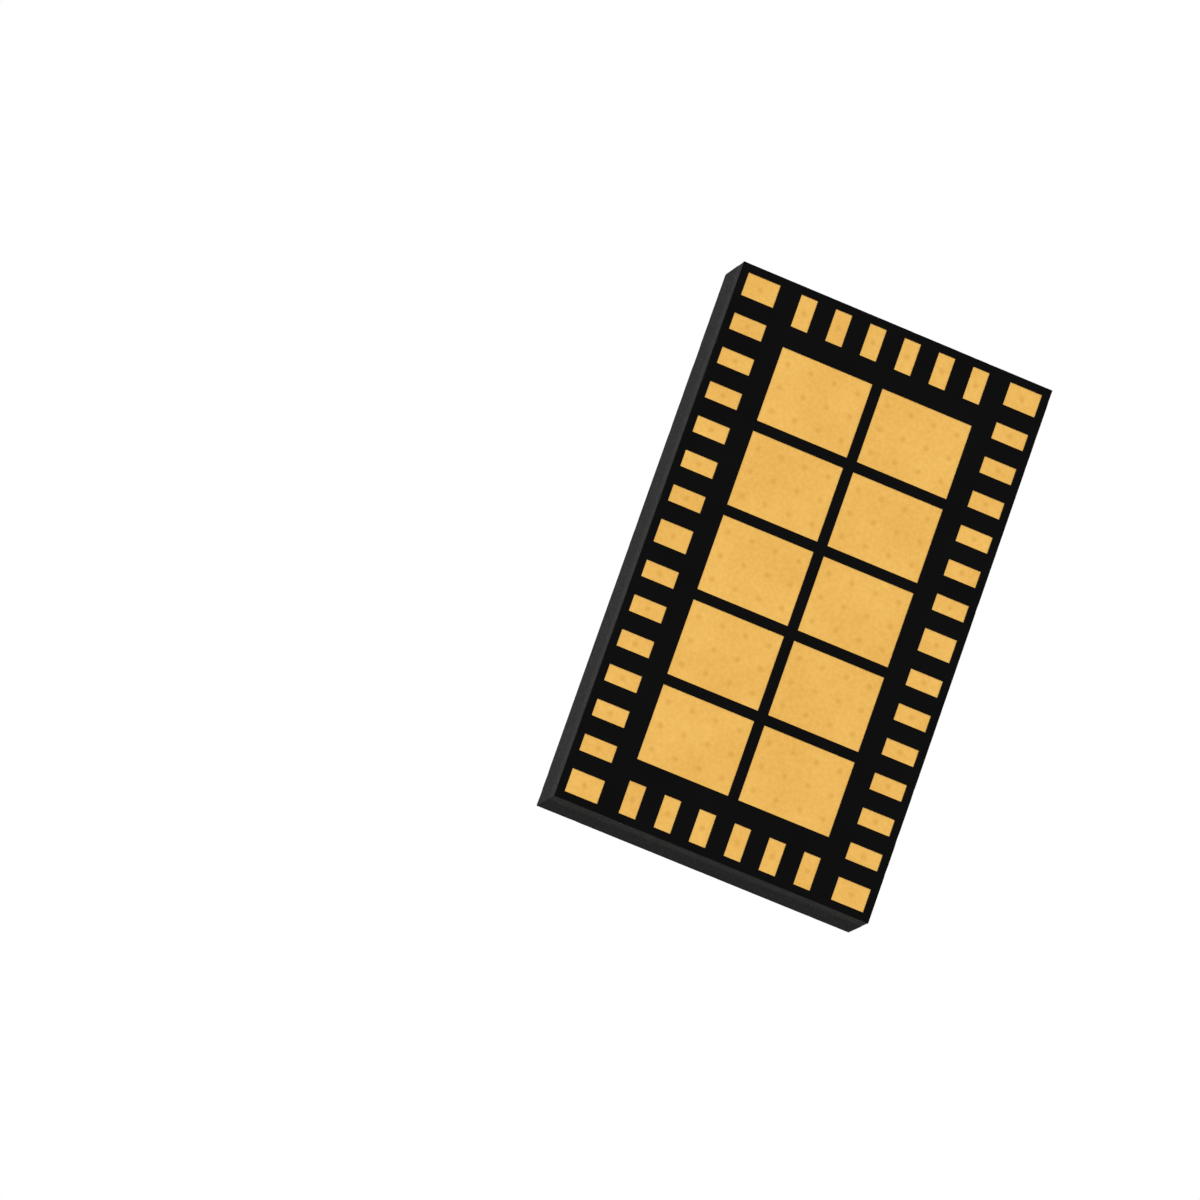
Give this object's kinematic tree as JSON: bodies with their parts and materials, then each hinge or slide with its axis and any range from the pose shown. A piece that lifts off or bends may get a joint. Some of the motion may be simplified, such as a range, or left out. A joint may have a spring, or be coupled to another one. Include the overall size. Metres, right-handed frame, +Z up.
{
  "type": "integrated circuit",
  "caption": "Thin rectangular overmoulded radio module: black sawn epoxy block with a white dot at one corner, gold land grid and large ground lands underneath.",
  "frame": {"origin": "centre of the land side, on the seating plane", "axes": "+Z up out of the marked face, +Y along the long side towards the dot, +X along the short side away from the dot"},
  "size_m": [0.004, 0.0068, 0.0008],
  "materials": {
    "mould_epoxy": "satin",
    "white_ink": "matte",
    "solder_mask": "satin",
    "glass_epoxy": "matte",
    "gold_plating": "satin",
    "copper": "satin",
    "silicon": "gloss",
    "gallium_arsenide": "gloss",
    "die_adhesive": "matte",
    "gold_wire": "gloss",
    "solder": "satin",
    "capacitor_ceramic": "satin",
    "inductor_ceramic": "satin",
    "tin_plating": "satin"
  },
  "bodies": {
    "root": {"overmould": "mould_epoxy", "pin1_dot": "white_ink", "top_mask": "solder_mask", "upper_prepreg": "glass_epoxy", "laminate_core": "glass_epoxy", "lower_prepreg": "glass_epoxy", "bottom_mask": "solder_mask", "left_row_lands": "gold_plating", "right_row_lands": "gold_plating", "near_end_lands": "gold_plating", "far_end_lands": "gold_plating", "corner_lands": "gold_plating", "middle_lands": "gold_plating", "ground_lands": "gold_plating", "inner_ground_plane": "copper", "inner_ground_island": "copper", "inner_supply_ring": "copper", "land_vias": "copper", "thermal_vias": "copper", "paddle_vias": "copper", "capture_pads": "copper", "die_paddles": "gold_plating", "bond_fingers": "gold_plating", "chip_pads": "gold_plating", "bump_pads": "gold_plating", "controller_die": "silicon", "high_band_amplifier_die": "gallium_arsenide", "low_band_amplifier_die": "gallium_arsenide", "band_switch_die": "silicon", "antenna_switch_die": "silicon", "controller_die_attach": "die_adhesive", "high_band_die_attach": "die_adhesive", "low_band_die_attach": "die_adhesive", "controller_bond_wires": "gold_wire", "high_band_bond_wires": "gold_wire", "low_band_bond_wires": "gold_wire", "band_switch_pillars": "copper", "antenna_switch_pillars": "copper", "pillar_solder": "solder", "capacitor_bodies": "capacitor_ceramic", "capacitor_end_bands": "tin_plating", "inductor_bodies": "inductor_ceramic", "inductor_end_bands": "tin_plating", "chip_solder_joints": "solder"}
  },
  "joints": []
}
